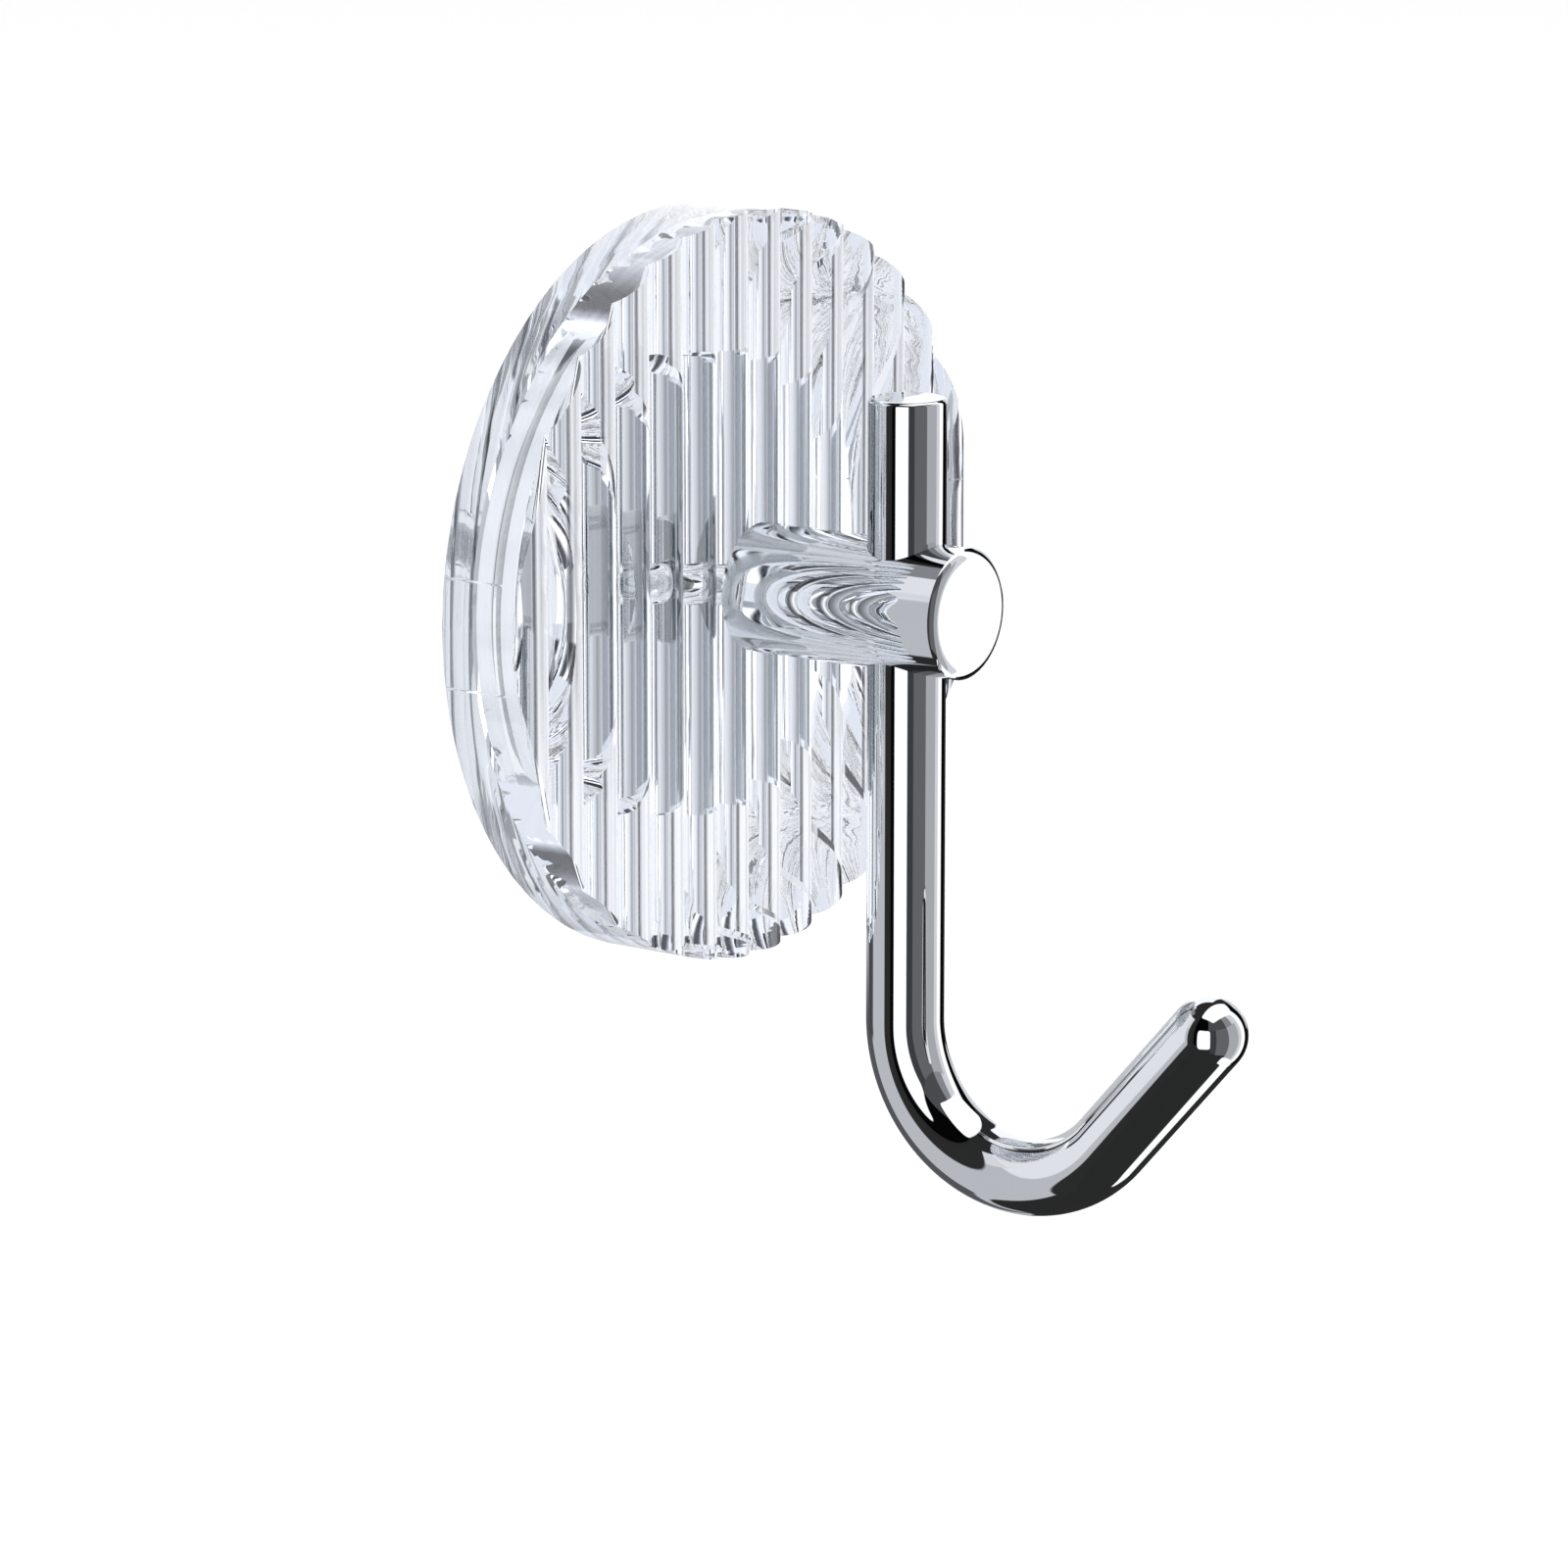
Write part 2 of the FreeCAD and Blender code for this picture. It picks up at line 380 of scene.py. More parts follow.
def cast_acrylic():
    """Clear cast acrylic: faint waves keep its lines from being ruled, and its turned rim is ridged."""
    material, tree = new_material("cast_acrylic")
    place = add(tree, "ShaderNodeTexCoord").outputs["Object"]
    waves = add(tree, "ShaderNodeTexNoise", {"Vector": place, "Scale": 180.0, "Detail": 1.0})
    haze = add(tree, "ShaderNodeTexNoise", {"Vector": place, "Scale": 900.0, "Detail": 3.0})
    tint = add(tree, "ShaderNodeMix", {
        "Factor": waves.outputs["Fac"], 6: linear("#fbfcfd"), 7: linear("#fdfeff")}, data_type="RGBA")
    roughness = add(tree, "ShaderNodeMapRange", {
        "Value": haze.outputs["Fac"], "From Min": 0.5, "From Max": 0.8, "To Min": 0.0, "To Max": 0.006})
    # Ridges about 1 mm apart run round the rim, and nowhere else.
    depth = add(tree, "ShaderNodeSeparateXYZ", {"Vector": place}).outputs["Y"]
    in_plane = add(tree, "ShaderNodeVectorMath", {0: place, 1: (1, 0, 1)}, operation="MULTIPLY")
    from_axis = add(tree, "ShaderNodeVectorMath", {0: in_plane.outputs[0]}, operation="LENGTH")
    on_rim = add(tree, "ShaderNodeMath", {
        0: from_axis.outputs["Value"], 1: ROSETTE_RADIUS - RIM_DEPTH}, operation="GREATER_THAN")
    ridges = add(tree, "ShaderNodeTexNoise", {
        "W": depth, "Scale": 1100.0, "Detail": 0.0}, noise_dimensions="1D")
    ridges = add(tree, "ShaderNodeMath", {0: ridges.outputs["Fac"], 1: on_rim.outputs[0]}, operation="MULTIPLY")
    height = add(tree, "ShaderNodeMath", {
        0: ridges.outputs[0], 1: RIDGES_TO_WAVES, 2: waves.outputs["Fac"]}, operation="MULTIPLY_ADD")
    bump = add(tree, "ShaderNodeBump", {"Height": height.outputs[0], "Strength": 1.0, "Distance": WAVE_HEIGHT})
    shader = add(tree, "ShaderNodeBsdfPrincipled", {
        "Base Color": tint.outputs[2], "Roughness": roughness.outputs[0], "Normal": bump.outputs[0],
        "Transmission Weight": 1.0, "IOR": 1.49})
    add(tree, "ShaderNodeOutputMaterial", {"Surface": shader.outputs["BSDF"]})
    return material


def chrome_plate():
    """Bright chrome over polished metal: a cool mirror with a trace of orange peel and of handling."""
    material, tree = new_material("chrome_plate")
    place = add(tree, "ShaderNodeTexCoord").outputs["Object"]
    peel = add(tree, "ShaderNodeTexNoise", {"Vector": place, "Scale": 700.0, "Detail": 1.0})
    handling = add(tree, "ShaderNodeTexNoise", {"Vector": place, "Scale": 130.0, "Detail": 4.0})
    colour = add(tree, "ShaderNodeMix", {
        "Factor": handling.outputs["Fac"], 6: linear("#d9dbdd"), 7: linear("#dfe1e3")}, data_type="RGBA")
    roughness = add(tree, "ShaderNodeMapRange", {
        "Value": handling.outputs["Fac"], "From Min": 0.35, "From Max": 0.75, "To Min": 0.004, "To Max": 0.016})
    bump = add(tree, "ShaderNodeBump", {
        "Height": peel.outputs["Fac"], "Strength": 1.0, "Distance": 0.0008 * MM})
    shader = add(tree, "ShaderNodeBsdfPrincipled", {
        "Base Color": colour.outputs[2], "Roughness": roughness.outputs[0], "Normal": bump.outputs[0],
        "Metallic": 1.0})
    add(tree, "ShaderNodeOutputMaterial", {"Surface": shader.outputs["BSDF"]})
    return material


def turned_steel():
    """Faced steel: a grey mirror under the acrylic, with fine rings from the lathe round its middle."""
    material, tree = new_material("turned_steel")
    place = add(tree, "ShaderNodeTexCoord").outputs["Object"]
    in_plane = add(tree, "ShaderNodeVectorMath", {0: place, 1: (1, 0, 1)}, operation="MULTIPLY")
    from_axis = add(tree, "ShaderNodeVectorMath", {0: in_plane.outputs[0]}, operation="LENGTH")
    # Rings about 0.12 mm apart
    rings = add(tree, "ShaderNodeTexNoise", {
        "W": from_axis.outputs["Value"], "Scale": 8000.0, "Detail": 2.0}, noise_dimensions="1D")
    clouds = add(tree, "ShaderNodeTexNoise", {"Vector": place, "Scale": 220.0, "Detail": 3.0})
    colour = add(tree, "ShaderNodeMix", {
        "Factor": clouds.outputs["Fac"], 6: linear("#c6c8cb"), 7: linear("#d0d2d5")}, data_type="RGBA")
    # A thin ring at the edge is painted near white: a painted highlight.
    on_highlight_ring = add(tree, "ShaderNodeMath", {
        0: from_axis.outputs["Value"], 1: PLATE_RADIUS - PLATE_HIGHLIGHT_WIDTH}, operation="GREATER_THAN")
    colour = add(tree, "ShaderNodeMix", {
        "Factor": on_highlight_ring.outputs[0], 6: colour.outputs[2], 7: linear("#f8f9fb")}, data_type="RGBA")
    roughness = add(tree, "ShaderNodeMapRange", {
        "Value": rings.outputs["Fac"], "From Min": 0.3, "From Max": 0.7, "To Min": 0.03, "To Max": 0.07})
    bump = add(tree, "ShaderNodeBump", {
        "Height": rings.outputs["Fac"], "Strength": 1.0, "Distance": 0.0002 * MM})
    shader = add(tree, "ShaderNodeBsdfPrincipled", {
        "Base Color": colour.outputs[2], "Roughness": roughness.outputs[0], "Normal": bump.outputs[0],
        "Metallic": 1.0})
    add(tree, "ShaderNodeOutputMaterial", {"Surface": shader.outputs["BSDF"]})
    return material


def zinc_plate():
    """Bright zinc on the screw: paler and duller than the chrome, with a slight mottle."""
    material, tree = new_material("zinc_plate")
    place = add(tree, "ShaderNodeTexCoord").outputs["Object"]
    mottle = add(tree, "ShaderNodeTexNoise", {"Vector": place, "Scale": 2500.0, "Detail": 3.0})
    colour = add(tree, "ShaderNodeMix", {
        "Factor": mottle.outputs["Fac"], 6: linear("#b4b8be"), 7: linear("#d2d4d6")}, data_type="RGBA")
    roughness = add(tree, "ShaderNodeMapRange", {
        "Value": mottle.outputs["Fac"], "From Min": 0.3, "From Max": 0.7, "To Min": 0.18, "To Max": 0.32})
    bump = add(tree, "ShaderNodeBump", {
        "Height": mottle.outputs["Fac"], "Strength": 1.0, "Distance": 0.003 * MM})
    shader = add(tree, "ShaderNodeBsdfPrincipled", {
        "Base Color": colour.outputs[2], "Roughness": roughness.outputs[0], "Normal": bump.outputs[0],
        "Metallic": 1.0})
    add(tree, "ShaderNodeOutputMaterial", {"Surface": shader.outputs["BSDF"]})
    return material


def acrylic_foam():
    """Double-sided foam tape: matt, off-white and full of small cells, drawn at about twice their real size."""
    material, tree = new_material("acrylic_foam")
    place = add(tree, "ShaderNodeTexCoord").outputs["Object"]
    # Cells about 0.4 mm across
    cells = add(tree, "ShaderNodeTexVoronoi", {"Vector": place, "Scale": 2500.0})
    clouds = add(tree, "ShaderNodeTexNoise", {"Vector": place, "Scale": 300.0, "Detail": 3.0})
    # Darker between the cells, where the bump sinks: painted shade, broken up by a random mottle.
    shade = add(tree, "ShaderNodeMath", {
        0: cells.outputs["Distance"], 1: clouds.outputs["Fac"]}, operation="MULTIPLY")
    colour = add(tree, "ShaderNodeMix", {
        "Factor": shade.outputs[0], 6: linear("#e2e4e7"), 7: linear("#bfc2c7")}, data_type="RGBA")
    roughness = add(tree, "ShaderNodeMapRange", {"Value": clouds.outputs["Fac"], "To Min": 0.8, "To Max": 0.95})
    bump = add(tree, "ShaderNodeBump", {
        "Height": cells.outputs["Distance"], "Strength": 0.8, "Distance": 0.08 * MM}, invert=True)
    shader = add(tree, "ShaderNodeBsdfPrincipled", {
        "Base Color": colour.outputs[2], "Roughness": roughness.outputs[0], "Normal": bump.outputs[0]})
    add(tree, "ShaderNodeOutputMaterial", {"Surface": shader.outputs["BSDF"]})
    return material


def studio_paper():
    """Matt white paper with a soft mottle. The camera sees it lit a little more, so that it is white."""
    material, tree = new_material("studio_paper")
    place = add(tree, "ShaderNodeTexCoord").outputs["Object"]
    mottle = add(tree, "ShaderNodeTexNoise", {"Vector": place, "Scale": 60.0, "Detail": 4.0})
    colour = add(tree, "ShaderNodeMix", {
        "Factor": mottle.outputs["Fac"], 6: linear("#e9e9e9"), 7: linear("#ececec")}, data_type="RGBA")
    roughness = add(tree, "ShaderNodeMapRange", {"Value": mottle.outputs["Fac"], "To Min": 0.85, "To Max": 1.0})
    paper = add(tree, "ShaderNodeBsdfDiffuse", {"Color": colour.outputs[2], "Roughness": roughness.outputs[0]})
    seen = add(tree, "ShaderNodeLightPath").outputs["Is Camera Ray"]
    lift = add(tree, "ShaderNodeMath", {0: seen, 1: PAPER_LIFT}, operation="MULTIPLY")
    glow = add(tree, "ShaderNodeEmission", {"Color": linear("#ffffff"), "Strength": lift.outputs[0]})
    both = add(tree, "ShaderNodeAddShader", {0: paper.outputs[0], 1: glow.outputs[0]})
    add(tree, "ShaderNodeOutputMaterial", {"Surface": both.outputs[0]})
    return material


def make_camera():
    """The camera fitted to the photograph, turned by its azimuth and elevation about the rosette."""
    azimuth, elevation = CAMERA_AZIMUTH, CAMERA_ELEVATION
    back = Vector((math.sin(azimuth) * math.cos(elevation), -math.cos(azimuth) * math.cos(elevation),
                   math.sin(elevation)))
    right = Vector((math.cos(azimuth), math.sin(azimuth), 0.0))
    up = back.cross(right)
    per_px = CAMERA_DISTANCE / FOCAL_PX
    aside = (ROSETTE_BACK_PX[0] - IMAGE_SIDE_PX / 2) * per_px
    above = (IMAGE_SIDE_PX / 2 - ROSETTE_BACK_PX[1]) * per_px
    place = Vector((0, ROSETTE_BACK, 0)) - aside * right - above * up + CAMERA_DISTANCE * back
    data = bpy.data.cameras.new("camera")
    data.sensor_width = SENSOR_WIDTH
    data.lens = FOCAL_PX / IMAGE_SIDE_PX * data.sensor_width
    camera = bpy.data.objects.new("camera", data)
    camera.matrix_world = Matrix.Translation(place) @ Matrix((right, up, back)).transposed().to_4x4()
    bpy.context.collection.objects.link(camera)
    bpy.context.scene.camera = camera


FLOOR_HEIGHT = -150.0 * MM
FLOOR_REACH = 6.0
PAPER_LIFT = 0.25
ROOM_LEVEL = 0.8
LAMP_PLACE = Vector((-0.3, -0.4, 1.6))
LAMP_SIZE = 1.0
LAMP_POWER = 9.0
MOST_BOUNCES = 16


def make_floor():
    corner = FLOOR_REACH * np.array([-1.0, 1.0])
    grid = np.stack(np.meshgrid(corner, corner) + [np.full((2, 2), FLOOR_HEIGHT)], axis=-1)
    floor = closed_mesh("studio_floor", [grid])
    floor.data.materials.append(studio_paper())
    # Chrome and acrylic show the cards that stand round the hook, not the floor.
    floor.visible_glossy = False
    floor.visible_transmission = False


def make_lamp():
    data = bpy.data.lights.new("overhead_lamp", "AREA")
    data.size = LAMP_SIZE
    data.energy = LAMP_POWER
    lamp = bpy.data.objects.new("overhead_lamp", data)
    lamp.location = LAMP_PLACE
    lamp.rotation_euler = (-LAMP_PLACE).to_track_quat("-Z", "Y").to_euler()
    lamp.visible_glossy = False
    lamp.visible_transmission = False
    lamp.visible_camera = False
    bpy.context.collection.objects.link(lamp)


# The studio round the hook. Each card is a rectangle in degrees: the azimuth is anticlockwise from +X as
# seen from above, and both are seen from the hook. The overhead softbox is level, so its edges are
# given on a plane one unit above the hook instead.
STUDIO_SEAM = 165.0
CARD_EDGE = 0.7
METAL_BASE = "#282828"
METAL_LEVEL = 1.4
METAL_CARDS = (
    # name, colour, azimuth from and to, elevation from and to, corner radius
    ("low back card", "#b4b6ba", 37.0, 178.0, -54.0, 23.0, 22.0),
    ("back window", "#f6f7f9", 20.0, 102.0, -10.0, 56.0, 5.0),
    ("back grey strip", "#babcbe", 46.0, 102.0, -10.0, 13.0, 1.0),
    ("tall pale card", "#dcdde1", 100.0, 143.0, -10.0, 50.0, 1.0),
    ("back dark strip", "#363739", 101.5, 107.5, -8.0, 13.0, 1.0),
    ("upper pale card", "#d1d2d6", 140.0, 152.0, 23.0, 50.0, 1.0),
    ("upper grey edge", "#808285", 85.0, 125.0, 50.0, 59.0, 2.0),
    ("low dark gap", "#505155", 44.0, 98.0, -50.0, -14.0, 2.0),
    ("low dark strip", "#45464a", 79.0, 105.0, -17.0, -9.0, 1.0),
    ("side gap", "#2a2a2a", 151.0, 171.0, -64.0, 62.0, 1.0),
    ("black flag", "#050505", 170.0, 217.0, -16.0, 64.0, 3.0),
    ("key window", "#ffffff", 181.0, 219.0, -27.0, 26.0, 8.0),
    ("front dark card", "#3a3b3d", 218.0, 237.0, -40.0, 28.0, 2.0),
    ("front grey card", "#606164", 236.0, 274.0, -44.0, 28.0, 1.0),
    ("front grey top", "#48494b", 213.0, 274.0, 27.0, 58.0, 1.0),
    ("front pale card", "#a3a5a8", 274.0, 312.0, -49.0, 28.0, 1.0),
    ("front pale top", "#838487", 273.0, 300.0, 27.0, 58.0, 1.0),
    ("side pale top", "#c9cbcd", 299.0, 313.0, 27.0, 58.0, 1.0),
    ("side white card", "#ffffff", 311.0, 340.0, -49.0, 50.0, 3.0),
    ("side grey strip", "#cdcfd2", 309.0, 322.0, -49.0, 50.0, 1.0),
    ("low white card", "#ffffff", 266.0, 352.0, -69.0, -49.0, 8.0),
    ("far black flag", "#050505", 343.0, 362.0, -45.0, 40.0, 4.0),
    ("far side card", "#c9cbce", 0.0, 22.0, -8.0, 22.0, 5.0),
)
SOFTBOX = ("overhead softbox", "#ffffff", -0.55, 1.25, -0.72, 0.06, 0.1)
SOFTBOX_EDGE = 0.012
LEAST_RISE = 0.001  # keeps directions below the horizon from being divided by nothing

# The world sorts light by how many surfaces it has met, so these limits stand halfway between two counts.
METAL_DEEP_PAST = 3.5
PAST_POST = 3.5
PAST_STEEL = 4.5
DEEP_INSIDE = 6.5
METAL_DEEP = "#b2b4b9"  # what metal shows where it is itself seen by way of the acrylic
# Between these counts what the acrylic shows gains in contrast and brightness.
GAIN_FROM, GAIN_TO = 3.0, 6.0
MOST_CONTRAST = 2.6
MOST_GAIN = 2.1

# What the acrylic shows is a row of upright strips of card, which its reeds draw out into fine lines:
# the azimuth, here from -195 to 165, and its colour, with even changes between them.
CLEAR_BASE = "#dbdde2"
CLEAR_DEEP = "#e6e8ed"
CLEAR_LEVEL = 1.15
# The elevation of the strips' middle, and how far from it they begin to fade and have faded, in degrees
STRIP_MIDDLE = -6.0
STRIP_REACH = (15.0, 17.0)
CLEAR_STRIPS = (
    (-195.0, "#6c6e73"), (-173.0, "#6c6e73"), (-165.0, "#dbdde2"), (-98.0, "#8b8d92"), (-83.0, "#8b8d92"),
    (-77.0, "#d6d8dd"), (-74.0, "#fdfeff"), (-52.0, "#fdfeff"), (-48.0, "#dcdee3"), (-45.5, "#d0d2d7"),
    (-43.0, "#a0a2a7"), (-40.0, "#d2d4d9"), (-38.0, "#aeb0b5"), (-36.0, "#d8dadf"), (-33.0, "#b2b4b9"),
    (-29.0, "#dee0e5"), (-21.0, "#d9dbe0"), (-16.0, "#c6c8cd"), (-9.0, "#e0e2e7"), (6.0, "#fbfcff"),
    (9.0, "#bfc1c6"), (13.0, "#4c4e53"), (20.0, "#4c4e53"), (24.0, "#b8babf"), (28.0, "#dfe1e6"),
    (39.0, "#b4b6bb"), (50.0, "#e2e4e9"), (66.0, "#fafbff"), (90.0, "#fafbff"), (122.0, "#7c7e83"),
    (138.0, "#fdfeff"), (156.0, "#6c6e73"),
)
# Above and below those stand bolder strips, which the post and the steel pick up through the reeds.
BOLD_STRIPS = (
    (-195.0, "#8b8d92"), (-160.0, "#e6e8ed"), (-152.0, "#6a6c71"), (-146.0, "#6a6c71"), (-141.0, "#f4f5f8"),
    (-134.0, "#f4f5f8"), (-129.0, "#7c7e83"), (-123.0, "#7c7e83"), (-117.0, "#e6e8ed"), (-110.0, "#e6e8ed"),
    (-105.0, "#3c3e43"), (-98.0, "#3c3e43"), (-92.0, "#fafbff"), (-84.0, "#fafbff"), (-78.0, "#6a6c71"),
    (-72.0, "#6a6c71"), (-66.0, "#e6e8ed"), (-56.0, "#e6e8ed"), (-50.0, "#7c7e83"), (-44.0, "#7c7e83"),
    (-36.0, "#dbdde2"), (66.0, "#dbdde2"), (74.0, "#4c4e53"), (82.0, "#4c4e53"), (90.0, "#f4f5f8"),
    (100.0, "#f4f5f8"), (106.0, "#4c4e53"), (116.0, "#4c4e53"), (124.0, "#e6e8ed"), (132.0, "#e6e8ed"),
    (140.0, "#4c4e53"), (150.0, "#4c4e53"),
)
PALE_FRONT = ("pale front", CLEAR_BASE, 188.0, 328.0, -89.0, 89.0, 2.0)
MIXED_CARDS = (
    ("upper grey card", "#76787d", -32.0, 75.0, 17.0, 34.0, 5.0),
    ("lower grey card", "#83858a", -30.0, 75.0, -41.0, -29.5, 4.0),
)
CLEAR_CARDS = MIXED_CARDS + (
    ("pale card behind the rim", "#e6e8ed", 27.0, 50.0, -29.0, -12.0, 2.0),
    ("dark card behind the rim", "#5d5f64", 28.0, 50.0, 1.0, 10.0, 2.0),
    ("front pale strip", "#e2e4e8", 203.0, 262.0, -13.0, 14.0, 4.0),
    ("pale card above", "#d2d4d9", -195.0, 165.0, 52.0, 98.0, 6.0),
    ("pale card below", "#d2d4d9", -195.0, 165.0, -98.0, -43.0, 6.0),
)
DEEP_CARDS = MIXED_CARDS + (
    ("between the reeds and the steel", "#9b9da2", 262.0, 326.0, -22.0, 10.0, 2.0),
)


def make_studio():
    world = bpy.data.worlds.new("studio")
    bpy.context.scene.world = world
    world.use_nodes = True
    tree = world.node_tree
    tree.nodes.clear()
    direction = add(tree, "ShaderNodeTexCoord").outputs["Generated"]
    turned_back = add(tree, "ShaderNodeVectorRotate", {
        "Vector": direction, "Angle": math.radians(180.0 - STUDIO_SEAM)}, rotation_type="Z_AXIS")
    parts = add(tree, "ShaderNodeSeparateXYZ", {"Vector": turned_back.outputs["Vector"]})
    azimuth = add(tree, "ShaderNodeMath", {0: parts.outputs["Y"], 1: parts.outputs["X"]}, operation="ARCTAN2")
    elevation = add(tree, "ShaderNodeMath", {0: parts.outputs["Z"]}, operation="ARCSINE")
    place = add(tree, "ShaderNodeCombineXYZ", {"X": azimuth.outputs[0], "Y": elevation.outputs[0]}).outputs[0]
    rise = add(tree, "ShaderNodeMath", {0: parts.outputs["Z"], 1: LEAST_RISE}, operation="MAXIMUM").outputs[0]
    plan = add(tree, "ShaderNodeVectorMath", {0: direction, 1: rise}, operation="DIVIDE").outputs[0]
    plan = add(tree, "ShaderNodeVectorMath", {0: plan, 1: (1, 1, 0)}, operation="MULTIPLY").outputs[0]

    def lay_card(under, where, colour, centre, reach, corner, edge):
        """Mixes one card over what is under it: a rectangle with round corners and a soft edge."""
        offset = add(tree, "ShaderNodeVectorMath", {0: where, 1: centre}, operation="SUBTRACT").outputs[0]
        away = add(tree, "ShaderNodeVectorMath", {0: offset}, operation="ABSOLUTE").outputs[0]
        past = add(tree, "ShaderNodeVectorMath", {0: away, 1: reach}, operation="SUBTRACT").outputs[0]
        outside = add(tree, "ShaderNodeVectorMath", {0: past, 1: (0, 0, 0)}, operation="MAXIMUM").outputs[0]
        distance = add(tree, "ShaderNodeVectorMath", {0: outside}, operation="LENGTH").outputs["Value"]
        on_card = add(tree, "ShaderNodeMapRange", {
            "Value": distance, "From Min": corner + edge, "From Max": corner - edge},
            interpolation_type="SMOOTHSTEP").outputs[0]
        return add(tree, "ShaderNodeMix", {"Factor": on_card, 6: under, 7: linear(colour)},
                   data_type="RGBA").outputs[2]

    def lay_cards(colour, cards):
        for _, hex_colour, west, east, low, high, corner in cards:
            centre = [math.radians(c) for c in ((west + east) / 2 - STUDIO_SEAM - 180.0, (low + high) / 2, 0.0)]
            if centre[0] < -math.pi:
                centre[0] += 2 * math.pi
            reach = [math.radians(c) for c in ((east - west) / 2 - corner, (high - low) / 2 - corner, 0.0)]
            colour = lay_card(colour, place, hex_colour, centre, reach, math.radians(corner),
                              math.radians(CARD_EDGE))
        return colour

    metal_view = lay_cards(linear(METAL_BASE), METAL_CARDS)
    _, hex_colour, west, east, near, far, corner = SOFTBOX
    metal_view = lay_card(metal_view, plan, hex_colour, ((west + east) / 2, (near + far) / 2, 0.0),
                          ((east - west) / 2 - corner, (far - near) / 2 - corner, 0.0), corner, SOFTBOX_EDGE)
    turn_share = add(tree, "ShaderNodeMapRange", {
        "Value": azimuth.outputs[0], "From Min": -math.pi, "From Max": math.pi}).outputs[0]

    def stand_strips(stops_wanted):
        strips = add(tree, "ShaderNodeValToRGB", {"Fac": turn_share})
        stops = strips.color_ramp.elements
        for number, (turn, hex_colour) in enumerate(stops_wanted):
            position = (turn + 360.0 - STUDIO_SEAM) / 360.0
            stop = stops.new(position) if number > 1 else stops[number]
            stop.position = position
            stop.color = linear(hex_colour)
        return strips.outputs["Color"]

    # The fine strips stand about as high as the camera.
    height = add(tree, "ShaderNodeMath", {
        0: elevation.outputs[0], 1: math.radians(STRIP_MIDDLE)}, operation="SUBTRACT").outputs[0]
    height = add(tree, "ShaderNodeMath", {0: height}, operation="ABSOLUTE").outputs[0]
    beyond = add(tree, "ShaderNodeMapRange", {
        "Value": height, "From Min": math.radians(STRIP_REACH[0]),
        "From Max": math.radians(STRIP_REACH[1])}).outputs[0]
    rays = add(tree, "ShaderNodeLightPath").outputs
    # What is above and below them is even straight through the acrylic. By way of the post the bold strips
    # behind the hook are seen, and by way of the steel all of them.
    bold_view = stand_strips(BOLD_STRIPS)
    bold_back_view = lay_cards(bold_view, (PALE_FRONT,))
    by_the_post = add(tree, "ShaderNodeMath", {
        0: rays["Ray Depth"], 1: PAST_POST}, operation="GREATER_THAN").outputs[0]
    by_the_steel = add(tree, "ShaderNodeMath", {
        0: rays["Ray Depth"], 1: PAST_STEEL}, operation="GREATER_THAN").outputs[0]
    above_and_below = add(tree, "ShaderNodeMix", {
        "Factor": by_the_post, 6: linear(CLEAR_BASE), 7: bold_back_view}, data_type="RGBA").outputs[2]
    above_and_below = add(tree, "ShaderNodeMix", {
        "Factor": by_the_steel, 6: above_and_below, 7: bold_view}, data_type="RGBA").outputs[2]
    clear_view = add(tree, "ShaderNodeMix", {
        "Factor": beyond, 6: stand_strips(CLEAR_STRIPS), 7: above_and_below}, data_type="RGBA").outputs[2]
    clear_view = lay_cards(clear_view, CLEAR_CARDS)
    contrast = add(tree, "ShaderNodeMapRange", {
        "Value": rays["Ray Depth"], "From Min": GAIN_FROM, "From Max": GAIN_TO, "To Min": 1.0,
        "To Max": MOST_CONTRAST}).outputs[0]
    clear_view = add(tree, "ShaderNodeGamma", {"Color": clear_view, "Gamma": contrast}).outputs[0]
    gain = add(tree, "ShaderNodeMapRange", {
        "Value": rays["Ray Depth"], "From Min": GAIN_FROM, "From Max": GAIN_TO, "To Min": 1.0,
        "To Max": MOST_GAIN}).outputs[0]
    clear_view = add(tree, "ShaderNodeVectorMath", {0: clear_view, "Scale": gain}, operation="SCALE").outputs[0]
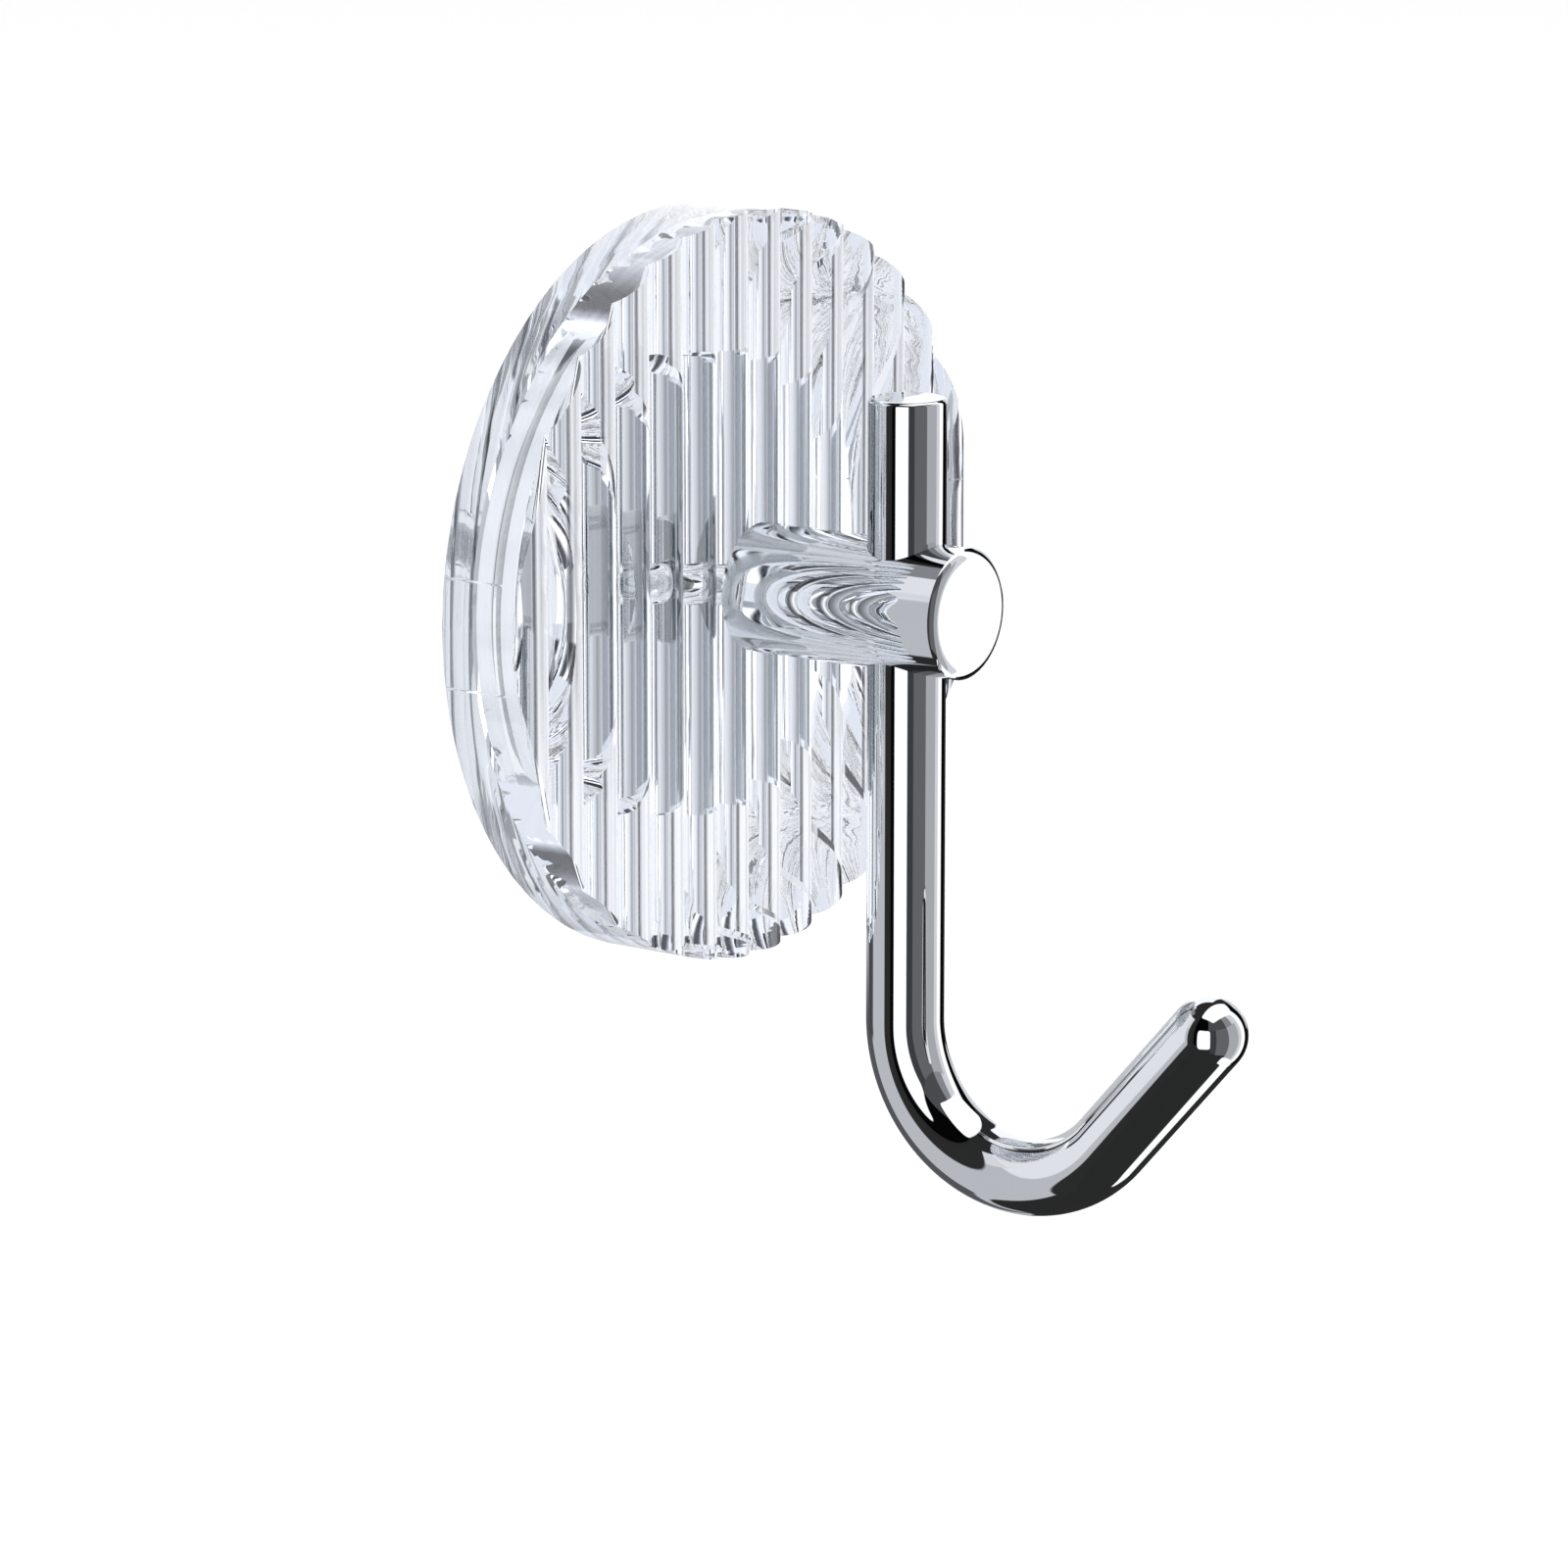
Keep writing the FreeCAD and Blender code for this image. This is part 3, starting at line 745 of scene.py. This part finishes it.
    # Light from deep inside comes from all sides, so it has an even tone. What has gone to and fro between the
    # reeds and the steel is darker.
    deep_view = lay_cards(linear(CLEAR_DEEP), DEEP_CARDS)
    clear_deep = add(tree, "ShaderNodeMath", {
        0: rays["Ray Depth"], 1: DEEP_INSIDE}, operation="GREATER_THAN").outputs[0]
    clear_view = add(tree, "ShaderNodeMix", {
        "Factor": clear_deep, 6: clear_view, 7: deep_view}, data_type="RGBA").outputs[2]
    metal_deep = add(tree, "ShaderNodeMath", {
        0: rays["Ray Depth"], 1: METAL_DEEP_PAST}, operation="GREATER_THAN").outputs[0]
    metal_view = add(tree, "ShaderNodeMix", {
        "Factor": metal_deep, 6: metal_view, 7: linear(METAL_DEEP)}, data_type="RGBA").outputs[2]
    # Each view has a background of its own, so that only the one that a ray needs is worked out. Chrome and
    # steel give back less than all their light, so what they show is brighter by as much.
    in_metal = add(tree, "ShaderNodeBackground", {"Color": metal_view, "Strength": METAL_LEVEL}).outputs[0]
    in_acrylic = add(tree, "ShaderNodeBackground", {"Color": clear_view, "Strength": CLEAR_LEVEL}).outputs[0]
    level = add(tree, "ShaderNodeMath", {
        0: rays["Is Diffuse Ray"], 1: ROOM_LEVEL - 1.0, 2: 1.0}, operation="MULTIPLY_ADD").outputs[0]
    seen = add(tree, "ShaderNodeBackground", {"Color": linear("#ffffff"), "Strength": level}).outputs[0]
    seen = add(tree, "ShaderNodeMixShader", {0: rays["Is Glossy Ray"], 1: seen, 2: in_metal}).outputs[0]
    # A ray that leaves the acrylic counts as glossy too, so the acrylic's view is laid over the metal's.
    seen = add(tree, "ShaderNodeMixShader", {0: rays["Is Transmission Ray"], 1: seen, 2: in_acrylic}).outputs[0]
    add(tree, "ShaderNodeOutputWorld", {"Surface": seen})


def put(piece, node, material):
    """Sets a new piece in place of a CAD node, with its finish."""
    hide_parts(node)
    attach(piece, "root")
    piece.data.materials.clear()
    piece.data.materials.append(material)


chrome = chrome_plate()
put(make_rosette(), "fluted_disc", cast_acrylic())
put(make_post(), "post", chrome)
put(make_rod(), "hook_rod", chrome)
put(make_screw(), "fixing_screw", zinc_plate())
for node, material in (("backing_plate", turned_steel()), ("mounting_tape", acrylic_foam())):
    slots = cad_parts[node].data.materials
    slots.clear()
    slots.append(material)

make_floor()
make_lamp()
make_camera()
make_studio()
bpy.context.scene.view_settings.view_transform = "Standard"
# Light goes to and fro many times between the reeds, the rim and the steel.
cycles = bpy.context.scene.cycles
cycles.max_bounces = cycles.glossy_bounces = cycles.transmission_bounces = MOST_BOUNCES
